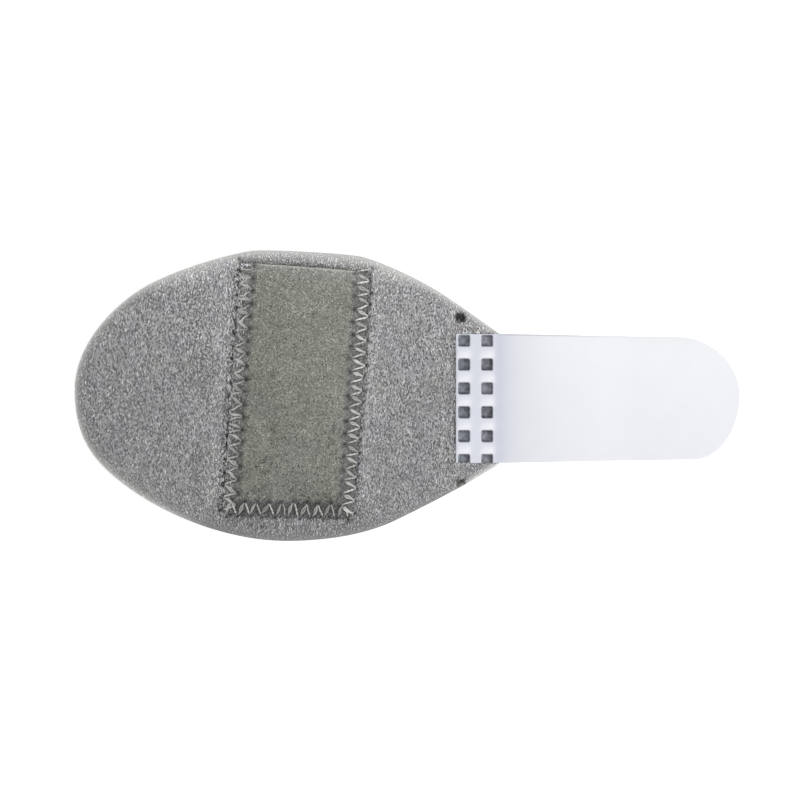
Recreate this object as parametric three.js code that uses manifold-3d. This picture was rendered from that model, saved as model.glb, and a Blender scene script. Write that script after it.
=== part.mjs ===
// Finger splint: a soft leaf-shaped pad with a sewn stay pocket and a hook tab welded to its narrow end.
// Millimetres. X runs along the pad towards the tab, Y across it towards the pocket's open end, Z up.
import * as THREE from 'three';
import { mergeVertices } from 'three/addons/utils/BufferGeometryUtils.js';
import Module from 'manifold-3d';

const wasm = await Module();
wasm.setup();

// Gap kept between neighbouring pieces
const clearance = 0.3;

// Pad
const padLength = 84;
const padWidth = 57.8;
const padThickness = 3.2;
const rimInset = 2.4; // how far in from the edge the rolled upper rim begins
const rimDrop = 1.9; // how far the rim comes down before the cut edge
const footInset = 0.4; // small roll of the lower edge
const footRise = 0.5;
const outlineSteps = 10; // points on each stretch of the outline
const rimSteps = 5;

// Pad outline, clockwise from the tab's lower corner to its upper corner.
// along and across are shares of the pad's length and width, across from the middle line.
// heading is the way the edge runs there, in degrees.
// before and after are the lengths of the curve's handles, as shares of the pad's length.
const padKnots = [
  { name: 'lower tab corner', along: 1.0, across: -0.237, heading: 213, before: 0, after: 0.08 },
  { name: 'lower shoulder', along: 0.76, across: -0.427, heading: 206, before: 0.09, after: 0.07 },
  { name: 'lowest point', along: 0.5, across: -0.5, heading: 180, before: 0.11, after: 0.145 },
  { name: 'lower cheek', along: 0.13, across: -0.3205, heading: 144, before: 0.1, after: 0.1 },
  { name: 'free end', along: 0.0, across: 0.018, heading: 90, before: 0.12, after: 0.095 },
  { name: 'upper cheek', along: 0.15, across: 0.357, heading: 33, before: 0.09, after: 0.09 },
  { name: 'pocket corner, free side', along: 0.425, across: 0.4945, heading: 4, before: 0.045, after: 0.04 },
  { name: 'pocket corner, tab side', along: 0.68, across: 0.4725, heading: -14, before: 0.035, after: 0.03 },
  { name: 'upper shoulder', along: 0.85, across: 0.3615, heading: -31, before: 0.07, after: 0.05 },
  { name: 'upper tab corner', along: 1.0, across: 0.2105, heading: -36, before: 0.06, after: 0 },
];

// Stay pocket: a strip sewn down on its two long sides and its lower end
const stripWidth = 25.4;
const stripLength = 48.9; // along its middle
const stripThickness = 0.9;
const stripTurn = 4.2; // degrees clockwise
const stripAlong = 0.5225; // centre, as a share of the pad's length
const stripAcross = 0.0132; // centre, as a share of the pad's width
const endSlant = 0.048; // how much the sewn lower end climbs for each mm across
const pocketRise = 1.1; // how far the strip crowns up over the pad
const crownRun = 8; // distance from seam to full crown
const stripEdgeSteps = 7; // columns across each seam valley
const stripCrownSteps = 5; // columns from the valley to the middle
const stripRows = 9; // rows from the end seam's valley to the open end

// Seam: a zigzag that straddles the strip's edge and pulls it down into a valley
const seamOutside = 0.65; // reach past the strip's edge
const seamInside = 2.75; // reach in from the strip's edge
const seamFlank = 1.1; // slope on each side of the stitched band
const seamDepth = 0.8;
const seamPinch = 0.3; // how much thinner the strip is under the stitches
const seamOverrun = 0.7; // how far the side seams run on past the open end
const valleySteps = 10;

// Hook tab
const tabThickness = 1.0;
const tabLap = 8.6; // how far it laps onto the pad
const tabReach = 47.75; // free length past the pad's end
const tabRootWidth = 25.4;
const tabTipWidth = 23.95;
const tabOffset = -0.7; // its middle line, from the pad's middle line
const tabSink = 0.6; // depth of its seat in the pad
const tabDrape = 30; // length over which it comes down to the surface
const tipRise = 0.6; // the tip lies this far above the tab's middle line
const tipRoundUpper = 12.1; // length of the rounded end along the upper edge
const tipRoundLower = 8.9; // length of the rounded end along the lower edge
const drapeSteps = 14;
const tipSteps = 8;
const tipLastAngle = 85; // degrees of the quarter ellipse, which leaves a narrow blunt tip

// Spot welds: two columns of square dents, a few of them past the tab's edges
const weldPitch = 4.7; // from row to row
const weldColumnPitch = 4.55;
const weldColumns = 2;
const weldRows = 6;
const weldSize = 2.3;
const weldWall = 0.3; // plastic pressed down round each dent
const weldFloor = 0.3;
const weldDepth = 1.6; // from the tab's top to the dent's floor
const weldInset = 1.6; // first column's centre, from the tab's welded edge
const weldTopMargin = 1.32; // first row's centre, from the tab's upper edge
const strayDepth = 1.2; // the two dents that missed the tab
const strayShift = -0.7; // how far off the first column's line they lie

const cutterReach = 5; // how far a cutting body runs past what it cuts

// Worked out from the sizes above
const stripCentre = new THREE.Vector3(padLength * stripAlong, padWidth * stripAcross, 0);
const stripAngle = THREE.MathUtils.degToRad(-stripTurn);
const seamMiddle = (seamInside - seamOutside) / 2; // middle of the band, in from the strip's edge
const valleyHalf = (seamInside + seamOutside) / 2 + seamFlank;
const tabStart = padLength - tabLap;
const tabTip = padLength + tabReach;
const tabBend = padLength - rimInset;
const tabSeat = padThickness - tabSink + clearance;
const tabTaper = (tabRootWidth - tabTipWidth) / 2 / tabReach; // narrowing of each edge for each mm of length

function smooth(share) {
  const t = THREE.MathUtils.clamp(share, 0, 1);
  return t * t * (3 - 2 * t);
}

// Points from start to end, both included
function steps(start, end, count) {
  return Array.from({ length: count + 1 }, (_, i) => start + ((end - start) * i) / count);
}

// Triangles over a flat ring of points, turned the way the ring runs
function capFaces(ring, flatten) {
  const contour = ring.map(flatten);
  const triangles = THREE.ShapeUtils.triangulateShape([...contour], []);
  const first = triangles[0].map((i) => contour[i]);
  const alike = THREE.ShapeUtils.isClockWise(contour) === THREE.ShapeUtils.isClockWise(first);
  return alike ? triangles : triangles.map(([a, b, c]) => [a, c, b]);
}

// A closed body through a row of rings that have as many points each, with flat ends
function ringBody(rings, flatten) {
  const count = rings[0].length;
  const faces = [];
  for (let r = 0; r + 1 < rings.length; r++) {
    for (let i = 0; i < count; i++) {
      const a = r * count + i;
      const b = r * count + ((i + 1) % count);
      faces.push(a, b, b + count, a, b + count, a + count);
    }
  }
  const lastStart = (rings.length - 1) * count;
  for (const [a, b, c] of capFaces(rings[0], flatten)) faces.push(a, c, b);
  for (const cap of capFaces(rings.at(-1), flatten)) faces.push(...cap.map((i) => lastStart + i));
  const geometry = new THREE.BufferGeometry().setFromPoints(rings.flat());
  geometry.setIndex(faces);
  return geometry;
}

function toSolid(geometry) {
  const bare = geometry.clone();
  bare.deleteAttribute('normal');
  bare.deleteAttribute('uv');
  const merged = mergeVertices(bare);
  const vertProperties = new Float32Array(merged.attributes.position.array);
  const triVerts = new Uint32Array(merged.index.array);
  return new wasm.Manifold(new wasm.Mesh({ numProp: 3, vertProperties, triVerts }));
}

function toGeometry(solid) {
  const mesh = solid.getMesh();
  const geometry = new THREE.BufferGeometry();
  const positions = new Float32Array(mesh.vertProperties);
  geometry.setAttribute('position', new THREE.BufferAttribute(positions, mesh.numProp));
  geometry.setIndex(new THREE.BufferAttribute(new Uint32Array(mesh.triVerts), 1));
  return geometry;
}

function boxSolid(low, high) {
  const size = high.clone().sub(low);
  const middle = low.clone().add(high).multiplyScalar(1 / 2);
  return toSolid(new THREE.BoxGeometry(size.x, size.y, size.z).translate(middle.x, middle.y, middle.z));
}

// The outline, counter-clockwise: smooth stretches between the knots, closed by the straight cut at the tab
function padOutline() {
  const at = (knot) => new THREE.Vector2(knot.along * padLength, knot.across * padWidth);
  const handle = (knot, share) => {
    const heading = THREE.MathUtils.degToRad(knot.heading);
    return new THREE.Vector2(Math.cos(heading), Math.sin(heading)).multiplyScalar(share * padLength);
  };
  const path = new THREE.CurvePath();
  for (let k = 0; k + 1 < padKnots.length; k++) {
    const [from, to] = [padKnots[k], padKnots[k + 1]];
    const leave = at(from).add(handle(from, from.after));
    const arrive = at(to).sub(handle(to, to.before));
    path.add(new THREE.CubicBezierCurve(at(from), leave, arrive, at(to)));
  }
  return path.curves.flatMap((curve, k) => curve.getPoints(outlineSteps).slice(k === 0 ? 0 : 1)).reverse();
}

// The outline moved inwards by the same distance all round, corners kept sharp
function insetOutline(outline, distance) {
  const count = outline.length;
  return outline.map((point, i) => {
    const before = point.clone().sub(outline[(i + count - 1) % count]).normalize();
    const after = outline[(i + 1) % count].clone().sub(point).normalize();
    const inward = (way) => new THREE.Vector2(-way.y, way.x);
    const sum = inward(before).add(inward(after));
    return point.clone().add(sum.multiplyScalar((2 * distance) / sum.lengthSq()));
  });
}

// The leaf of foam and cloth: flat below, cut edge, rolled upper rim
function padBlank() {
  const outline = padOutline();
  const levels = [
    { inset: footInset, height: 0 },
    { inset: 0, height: footRise },
    ...steps(0, Math.PI / 2, rimSteps).map((angle) => ({
      inset: rimInset * (1 - Math.cos(angle)),
      height: padThickness - rimDrop * (1 - Math.sin(angle)),
    })),
  ];
  const rings = levels.map(({ inset, height }) =>
    insetOutline(outline, inset).map(({ x, y }) => new THREE.Vector3(x, y, height)),
  );
  return toSolid(ringBody(rings, ({ x, y }) => new THREE.Vector2(x, y)));
}

// Depth of a seam's valley at a distance from its middle line
function valleyDepth(distance) {
  const share = THREE.MathUtils.clamp(distance / valleyHalf, -1, 1);
  return seamDepth * Math.cos((share * Math.PI) / 2) ** 2;
}

// Distances of a point of the strip from its sewn edges, in the strip's own frame
function seamDistances(across, along) {
  return { side: stripWidth / 2 - Math.abs(across), end: along + stripLength / 2 - endSlant * across };
}

// The pad's surface under the strip
function valleyFloor(across, along) {
  const { side, end } = seamDistances(across, along);
  return padThickness - Math.max(valleyDepth(side - seamMiddle), valleyDepth(end - seamMiddle));
}

function placeOnPad(geometry) {
  return geometry.rotateZ(stripAngle).translate(stripCentre.x, stripCentre.y, stripCentre.z);
}

// A straight cutting body with the valley's section, from one end point to the other
function valleyCutter(from, to) {
  const section = new THREE.Shape([
    new THREE.Vector2(valleyHalf, cutterReach),
    new THREE.Vector2(-valleyHalf, cutterReach),
    ...steps(-valleyHalf, valleyHalf, valleySteps).map((s) => new THREE.Vector2(s, -valleyDepth(s))),
  ]);
  const way = to.clone().sub(from);
  const geometry = new THREE.ExtrudeGeometry(section, { depth: way.length(), bevelEnabled: false });
  geometry.rotateX(Math.PI / 2).translate(0, way.length(), 0);
  geometry.rotateZ(way.angle() - Math.PI / 2).translate(from.x, from.y, padThickness);
  return toSolid(placeOnPad(geometry));
}

// The U of seams: down one side, along the lower end, up the other side
function seamCutters() {
  const side = stripWidth / 2 - seamMiddle;
  const low = (across) => -stripLength / 2 + seamMiddle + endSlant * across;
  const high = stripLength / 2 + seamOverrun;
  const reach = side + valleyHalf;
  const corners = [
    new THREE.Vector2(-side, high),
    new THREE.Vector2(-side, low(-side) - valleyHalf),
    new THREE.Vector2(side, low(side) - valleyHalf),
    new THREE.Vector2(side, high),
  ];
  const ends = [-reach, reach].map((across) => new THREE.Vector2(across, low(across)));
  return [
    valleyCutter(corners[1], corners[0]),
    valleyCutter(ends[0], ends[1]),
    valleyCutter(corners[2], corners[3]),
  ];
}

// Half width of the tab on one side of its middle line; side is 1 above it and -1 below
function tabEdge(x, side) {
  const half = tabRootWidth / 2 - tabTaper * Math.max(x - padLength, 0);
  const round = side > 0 ? tipRoundUpper : tipRoundLower;
  const share = THREE.MathUtils.clamp((x - (tabTip - round)) / round, 0, 1);
  const turned = side * tipRise + (half - side * tipRise) * Math.sqrt(1 - share ** 2);
  return tabOffset + side * (share > 0 ? turned : half);
}

// Height of the tab's hook side: seated on the pad, then a gentle slope down to the surface
function tabHeight(x) {
  return tabSeat * (1 - smooth((x - tabBend) / tabDrape));
}

function tabStations() {
  const lastAngle = THREE.MathUtils.degToRad(tipLastAngle);
  const roundStations = (round) =>
    steps(0, lastAngle, tipSteps).map((angle) => tabTip - round * (1 - Math.sin(angle)));
  const all = [
    tabStart,
    ...steps(tabBend, tabBend + tabDrape, drapeSteps),
    ...roundStations(tipRoundUpper),
    ...roundStations(tipRoundLower),
  ];
  const last = Math.max(...roundStations(Math.min(tipRoundUpper, tipRoundLower)));
  return [...new Set(all)].filter((x) => x <= last).sort((a, b) => a - b);
}

// A body with the tab's plan, grown sideways by a margin, between two heights given at each station
function tabBody(stations, margin, under, over) {
  const rings = stations.map((x) => {
    const [low, high] = [tabEdge(x, -1) - margin, tabEdge(x, 1) + margin];
    return [
      new THREE.Vector3(x, low, under(x)),
      new THREE.Vector3(x, high, under(x)),
      new THREE.Vector3(x, high, over(x)),
      new THREE.Vector3(x, low, over(x)),
    ];
  });
  return toSolid(ringBody(rings, ({ y, z }) => new THREE.Vector2(y, z)));
}

function weldCentre(row, column) {
  const top = tabOffset + tabRootWidth / 2 - weldTopMargin;
  return new THREE.Vector2(tabStart + weldInset + column * weldColumnPitch, top - row * weldPitch);
}

function weldCentres() {
  const cells = Array.from({ length: weldRows * weldColumns }, (_, i) => i);
  return cells.map((i) => weldCentre(Math.floor(i / weldColumns), i % weldColumns));
}

// The row above the tab and the row below it, first column only
function strayCentres() {
  const shift = new THREE.Vector2(strayShift, 0);
  return [-1, weldRows].map((row) => weldCentre(row, 0).add(shift));
}

function weldBoxes(centres, size, low, high) {
  const half = size / 2;
  return centres.map(({ x, y }) =>
    boxSolid(new THREE.Vector3(x - half, y - half, low), new THREE.Vector3(x + half, y + half, high)),
  );
}

function padGeometry() {
  const over = padThickness + cutterReach;
  const seatFloor = padThickness - tabSink;
  const seatStations = [tabStart - clearance, padLength, padLength + cutterReach];
  const seat = tabBody(seatStations, clearance, () => seatFloor, () => over);
  const cupFloor = tabSeat + tabThickness - weldDepth - weldFloor;
  const cupRoom = weldSize + 2 * (weldWall + clearance);
  const welded = weldBoxes(weldCentres(), cupRoom, cupFloor - clearance, over);
  const stray = weldBoxes(strayCentres(), weldSize, padThickness - strayDepth, over);
  const cuts = [seat, ...seamCutters(), ...welded, ...stray];
  return toGeometry(cuts.reduce((pad, cut) => pad.subtract(cut), padBlank()));
}

// Distances from a sewn edge: close together over the valley, wider apart on the crown
function seamStations(span, crownSteps) {
  const valleyEnd = seamMiddle + valleyHalf;
  return [...steps(0, valleyEnd, stripEdgeSteps), ...steps(valleyEnd, span, crownSteps).slice(1)];
}

// The sewn strip: it follows the valleys at its seams and crowns up between them, open at one end
function stripGeometry() {
  const fromSide = seamStations(stripWidth / 2, stripCrownSteps).map((d) => d - stripWidth / 2);
  const across = [...fromSide, ...fromSide.slice(0, -1).reverse().map((s) => -s)];
  const along = seamStations(stripLength, stripRows).map((d) => d - stripLength / 2);
  const crown = (distance) => smooth((distance - seamInside) / crownRun);
  const under = (s, t) => {
    const { side, end } = seamDistances(s, t);
    return valleyFloor(s, t) + clearance + pocketRise * crown(side) * crown(end);
  };
  const over = (s, t) => {
    const pinch = seamPinch * ((padThickness - valleyFloor(s, t)) / seamDepth);
    return under(s, t) + stripThickness - pinch;
  };
  // rows slant like the lower end there and are square at the open end
  const slanted = (s, t) => t + endSlant * s * (0.5 - t / stripLength);
  const point = (s, t, height) => new THREE.Vector3(s, slanted(s, t), height(s, slanted(s, t)));
  const rings = along.map((t) => [
    ...across.map((s) => point(s, t, under)).reverse(),
    ...across.map((s) => point(s, t, over)),
  ]);
  const body = ringBody(rings, ({ x, z }) => new THREE.Vector2(x, z));
  return toGeometry(toSolid(body));
}

// The white tab, with a cup of plastic pressed into the pad at each weld
function tabGeometry() {
  const top = (x) => tabHeight(x) + tabThickness;
  const slab = tabBody(tabStations(), 0, tabHeight, top);
  const welds = weldCentres();
  const dentFloor = tabSeat + tabThickness - weldDepth;
  const cupTop = tabSeat + tabThickness / 2;
  const plan = tabBody([tabStart, padLength], 0, () => 0, () => cupTop);
  const cups = weldBoxes(welds, weldSize + 2 * weldWall, dentFloor - weldFloor, cupTop);
  const dents = weldBoxes(welds, weldSize, dentFloor, tabSeat + tabThickness + cutterReach);
  const withCups = cups.reduce((tab, cup) => tab.add(cup.intersect(plan)), slab);
  return toGeometry(dents.reduce((tab, dent) => tab.subtract(dent), withCups));
}

function namedMesh(name, geometry, look) {
  const mesh = new THREE.Mesh(geometry, new THREE.MeshStandardMaterial({ ...look, flatShading: true }));
  mesh.name = name;
  return mesh;
}

const splint = new THREE.Group();
const strip = namedMesh('stay_pocket', stripGeometry(), { color: 0x82837c, roughness: 0.97, metalness: 0 });
strip.rotation.z = stripAngle;
strip.position.copy(stripCentre);
splint.add(
  namedMesh('pad', padGeometry(), { color: 0x8c8c8d, roughness: 0.95, metalness: 0 }),
  strip,
  namedMesh('hook_tab', tabGeometry(), { color: 0xeeeff3, roughness: 0.42, metalness: 0 }),
);

// The frame's origin is the middle of the underside of the whole
splint.updateMatrixWorld(true);
const extent = new THREE.Box3().setFromObject(splint);
const middle = extent.getCenter(new THREE.Vector3());
splint.position.set(-middle.x, -middle.y, -extent.min.z);

export default splint;
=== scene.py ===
import math

import bpy
import numpy as np
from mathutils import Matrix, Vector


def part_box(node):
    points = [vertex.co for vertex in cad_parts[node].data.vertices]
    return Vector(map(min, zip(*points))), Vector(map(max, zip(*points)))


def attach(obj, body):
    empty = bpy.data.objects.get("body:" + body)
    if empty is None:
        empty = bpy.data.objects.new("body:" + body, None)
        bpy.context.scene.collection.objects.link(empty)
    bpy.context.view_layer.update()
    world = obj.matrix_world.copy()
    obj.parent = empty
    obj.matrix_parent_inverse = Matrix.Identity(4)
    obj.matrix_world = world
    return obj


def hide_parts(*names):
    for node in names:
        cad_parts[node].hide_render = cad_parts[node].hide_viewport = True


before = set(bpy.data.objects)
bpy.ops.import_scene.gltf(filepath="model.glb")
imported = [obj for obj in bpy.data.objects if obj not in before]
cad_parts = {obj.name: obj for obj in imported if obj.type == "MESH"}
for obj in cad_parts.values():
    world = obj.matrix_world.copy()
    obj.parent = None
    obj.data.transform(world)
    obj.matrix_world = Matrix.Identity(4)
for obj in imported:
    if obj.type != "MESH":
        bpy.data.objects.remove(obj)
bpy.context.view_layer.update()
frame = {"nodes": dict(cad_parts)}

# Finger splint lying flat. Shapes are worked out in millimetres and go into the meshes in metres.
mm = 0.001
photoScale = 5.04  # pixels of the 800 pixel photograph for each millimetre
print(f"frame loaded: {', '.join(frame['nodes'])}")


def smooth(t):  # 3t^2 - 2t^3 on 0..1, flat outside
    t = np.clip(t, 0, 1)
    return t * t * (3 - 2 * t)


def bell(distance, width):  # exp(-(distance / width)^2)
    return np.exp(-((distance / width) ** 2))


def softBox(distance, half, edge):  # 1 inside half, 0 past half + edge, smooth between
    return smooth((half + edge - np.abs(distance)) / edge)


def latticeNoise(x, y, cellX, cellY, seed):
    # random values on a lattice, blended by smooth() between the four corners round each point, from -1 to 1
    table = np.random.default_rng(seed).uniform(-1, 1, (256, 256))
    u, v = x / cellX, y / cellY
    i, j = np.floor(u).astype(int), np.floor(v).astype(int)
    a, b = smooth(u - i), smooth(v - j)
    corner = lambda di, dj: table[(i + di) % 256, (j + dj) % 256]
    low = corner(0, 0) * (1 - a) + corner(1, 0) * a
    high = corner(0, 1) * (1 - a) + corner(1, 1) * a
    return low * (1 - b) + high * b


def unit(way):  # each row divided by its length
    return way / np.linalg.norm(way, axis=1, keepdims=True)


def leftOf(way):  # each row (x, y) turned a quarter turn to the left, (-y, x)
    return np.stack([-way[:, 1], way[:, 0]], 1)


def headings(angle):  # (cos, sin) of each angle
    return np.stack([np.cos(angle), np.sin(angle)], 1)


def gridFaces(rows, columns, start=0, wrap=False):
    # quads between neighbouring rows of a grid of points; wrap joins the last column to the first
    r = np.arange(rows - 1)[:, None]
    c = np.arange(columns if wrap else columns - 1)[None, :]
    n = (c + 1) % columns
    a, b = r * columns + c, r * columns + n
    quads = np.stack([a, b, b + columns, a + columns], -1).reshape(-1, 4)
    return quads + start


def fan(pole, ring, flip=False):  # triangles from a pole to a closed ring of points
    after = np.roll(ring, -1)
    faces = np.stack([np.full_like(ring, pole), ring, after], 1)
    return faces[:, ::-1] if flip else faces


def makePiece(name, points, faceSets, material, attributes=None, uv=None):
    # one mesh object from arrays: points in mm, and arrays of quads or triangles
    mesh = bpy.data.meshes.new(name)
    sizes = np.concatenate([np.full(len(f), f.shape[1]) for f in faceSets])
    corners = np.concatenate([f.ravel() for f in faceSets])
    mesh.vertices.add(len(points))
    mesh.vertices.foreach_set("co", (points * mm).astype(np.float32).ravel())
    mesh.loops.add(len(corners))
    mesh.loops.foreach_set("vertex_index", corners.astype(np.int32))
    mesh.polygons.add(len(sizes))
    mesh.polygons.foreach_set("loop_start", np.concatenate([[0], np.cumsum(sizes)[:-1]]).astype(np.int32))
    mesh.polygons.foreach_set("use_smooth", np.ones(len(sizes), bool))
    for key, values in (attributes or {}).items():
        mesh.attributes.new(key, "FLOAT", "POINT").data.foreach_set("value", values.astype(np.float32))
    if uv is not None:
        mesh.uv_layers.new(name="flat").data.foreach_set("uv", uv[corners].astype(np.float32).ravel())
    mesh.update(calc_edges=True)
    mesh.validate()
    mesh.materials.append(material)
    piece = bpy.data.objects.new(name, mesh)
    bpy.context.scene.collection.objects.link(piece)
    print(f"{name}: {len(points)} points, {int((sizes - 2).sum())} triangles")
    return piece


def tubes(paths, radii, sides):
    # round tubes along many paths at once, each closed by a fan at both ends
    # paths is (count, steps, 3) and radii (count, steps); each ring is square to its path
    count, steps, _ = paths.shape
    along = np.gradient(paths, axis=1)
    along /= np.linalg.norm(along, axis=2, keepdims=True) + 1e-9
    up = np.broadcast_to([0.05, 0.02, 1.0], along.shape)
    side = np.cross(along, up)
    side /= np.linalg.norm(side, axis=2, keepdims=True) + 1e-9
    lift = np.cross(side, along)
    turn = np.arange(sides) * 2 * np.pi / sides
    ring = np.cos(turn)[:, None] * side[:, :, None] + np.sin(turn)[:, None] * lift[:, :, None]
    skin = paths[:, :, None] + ring * radii[:, :, None, None]
    ends = paths[:, [0, -1]]
    points = np.concatenate([skin.reshape(count, -1, 3), ends], 1)
    each = steps * sides + 2
    body = gridFaces(steps, sides, wrap=True)
    first, last = np.arange(sides), (steps - 1) * sides + np.arange(sides)
    caps = np.concatenate([fan(each - 2, first, flip=True), fan(each - 1, last)])
    shift = (np.arange(count) * each)[:, None, None]
    return points.reshape(-1, 3), (body[None] + shift).reshape(-1, 4), (caps[None] + shift).reshape(-1, 3)


class Sock:  # a socket that adds Math nodes when it is used in arithmetic
    def __init__(self, tree, socket=None):
        self.tree = tree
        self.socket = socket

    def node(self, kind, settings=None, inputs=None, output=0):
        made = self.tree.nodes.new(kind)
        for key, value in (settings or {}).items():
            if key == "stops":
                for place, colour in value[2:]:
                    made.color_ramp.elements.new(place)
                for element, (place, colour) in zip(made.color_ramp.elements, value):
                    element.position, element.color = place, colour
            else:
                setattr(made, key, value)
        for key, value in (inputs or {}).items():
            if isinstance(value, Sock):
                self.tree.links.new(value.socket, made.inputs[key])
            else:
                made.inputs[key].default_value = value
        return Sock(self.tree, made.outputs[output])

    def math(self, operation, a, b):
        return self.node("ShaderNodeMath", {"operation": operation}, {0: a, 1: b})

    def __add__(self, other):
        return self.math("ADD", self, other)

    def __sub__(self, other):
        return self.math("SUBTRACT", self, other)

    def __rsub__(self, other):
        return self.math("SUBTRACT", other, self)

    def __mul__(self, other):
        return self.math("MULTIPLY", self, other)

    __radd__ = __add__
    __rmul__ = __mul__

    def mix(self, low, high):  # colour low where this is 0, high where it is 1
        settings = {"data_type": "RGBA", "clamp_factor": True}
        return self.node("ShaderNodeMix", settings, {0: self, 6: low, 7: high}, 2)

    def shade(self, colour):  # a colour times this value
        grey = self.node("ShaderNodeCombineXYZ", None, {0: self, 1: self, 2: self})
        colour = colour if isinstance(colour, Sock) else colour[:3]
        return self.node("ShaderNodeVectorMath", {"operation": "MULTIPLY"}, {0: colour, 1: grey})


def tone(red, green, blue):  # a screen colour, 0 to 255, as a linear one
    linear = [((c / 255 + 0.055) / 1.055) ** 2.4 for c in (red, green, blue)]
    return (*linear, 1.0)


def newMaterial(name, constants):
    # an empty material with one shader; constants are set on the shader's own sockets
    material = bpy.data.materials.new(name)
    material.use_nodes = True
    tree = material.node_tree
    shader = tree.nodes["Principled BSDF"]
    for key, value in constants.items():
        shader.inputs[key].default_value = value
    start = Sock(tree)
    place = start.node("ShaderNodeTexCoord", None, None, "Object")

    def feed(key, value):
        tree.links.new(value.socket, shader.inputs[key])

    return material, start, place, feed


def noise(start, place, scale, stretch=(1, 1, 1), detail=2.0, roughness=0.5):
    # noise with cells of about 1 / scale metres, stretched along the axes
    moved = start.node("ShaderNodeMapping", None, {"Vector": place, "Scale": stretch})
    inputs = {"Vector": moved, "Scale": scale, "Detail": detail, "Roughness": roughness}
    return start.node("ShaderNodeTexNoise", None, inputs)


def attribute(start, name):  # a value stored at each point of the mesh
    return start.node("ShaderNodeAttribute", {"attribute_name": name}, None, "Fac")


def coats(start, ground, layers):
    # colours laid one over another: each layer's attribute times its strength mixes its own colour in
    for name, strength, colour in layers:
        ground = (attribute(start, name) * strength).mix(ground, tone(*colour))
    return ground


def bump(start, height, distance, strength=1.0):  # a normal tilted by a height of so many metres
    inputs = {"Height": height, "Distance": distance, "Strength": strength}
    return start.node("ShaderNodeBump", None, inputs)


def nodePoints(name):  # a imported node's corners, in mm
    mesh = frame["nodes"][name].data
    flat = np.empty(len(mesh.vertices) * 3, np.float32)
    mesh.vertices.foreach_get("co", flat)
    return flat.reshape(-1, 3).astype(float) / mm


strip = {
    "turn": 4.2,  # degrees clockwise
    "slant": 0.048,  # how much the sewn lower end climbs for each mm across
    "thickness": 0.9,
    "pocketRise": 1.1,
    "crownRun": 8.0,  # how far in from the seam the pocket reaches its full rise
    "gap": 0.3,
    "edgeDrop": 0.25,  # how far the upper face rounds down at the cut edges, and over what width
    "edgeRun": 0.35,
    "holePull": 0.32,  # how deep a stitch draws the strip in, and how wide
    "holeRadius": 0.42,
    "columns": 87,
    "rows": 165,
    "strands": 31000,
    "strandLength": (0.35, 0.85),
    "strandWidth": (0.1, 0.18),
    "seed": 81,
}
seam = {
    "outside": 0.65,  # the zigzag reaches this far past the strip's edge, and this far in
    "inside": 2.75,
    "flank": 1.1,
    "depth": 0.8,
    "pinch": 0.3,
    "overrun": 0.7,
    "creaseOut": 0.42,  # the painted shade of the crease lies this far past the edge
    "creaseWidth": 0.26,
    "creaseBySide": (0.85, 0.1, 0.5),  # along the end, on the left and on the right
    "groundBySide": (0.5, 0.12, 0.24),
}
seamMiddle = (seam["inside"] - seam["outside"]) / 2
valleyHalf = (seam["inside"] + seam["outside"]) / 2 + seam["flank"]
leftWay = np.array([math.cos(math.radians(strip["turn"])), -math.sin(math.radians(strip["turn"]))])
upWay = np.array([-leftWay[1], leftWay[0]])


def stripMeasures():  # centre, width and length of the sewn strip, from its node
    flat = nodePoints("stay_pocket")[:, :2]
    across, along = flat @ leftWay, flat @ upWay
    low = along.min() + strip["slant"] * np.ptp(across) / 2  # the lower end's height at its middle
    middle = (across.min() + across.max()) / 2 * leftWay + (low + along.max()) / 2 * upWay
    return middle, np.ptp(across), along.max() - low


stripMiddle, stripWidth, stripLength = stripMeasures()
padLow, padHigh = [np.array(c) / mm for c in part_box("pad")]
tabLow, tabHigh = [np.array(c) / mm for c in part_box("hook_tab")]
padTopZ = padHigh[2]
padEnd = padHigh[0]
padCentre = np.array([(padLow[0] + padHigh[0]) / 2, 0.0])


def toStrip(x, y):  # the strip's own across and along, measured from its middle
    dx, dy = x - stripMiddle[0], y - stripMiddle[1]
    return dx * leftWay[0] + dy * leftWay[1], dx * upWay[0] + dy * upWay[1]


def seamDistances(s, t):  # distances in from the strip's long sides and from its sewn lower end
    return stripWidth / 2 - np.abs(s), t + stripLength / 2 - strip["slant"] * s


def bySide(s, side, end, values):  # the first value along the sewn end, the others on the left and the right
    return np.where(end < side, values[0], np.where(s < 0, values[1], values[2]))


def fromStrip(s, t):  # back from across and along to the pad's x and y
    return stripMiddle[0] + s * leftWay[0] + t * upWay[0], stripMiddle[1] + s * leftWay[1] + t * upWay[1]


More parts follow.
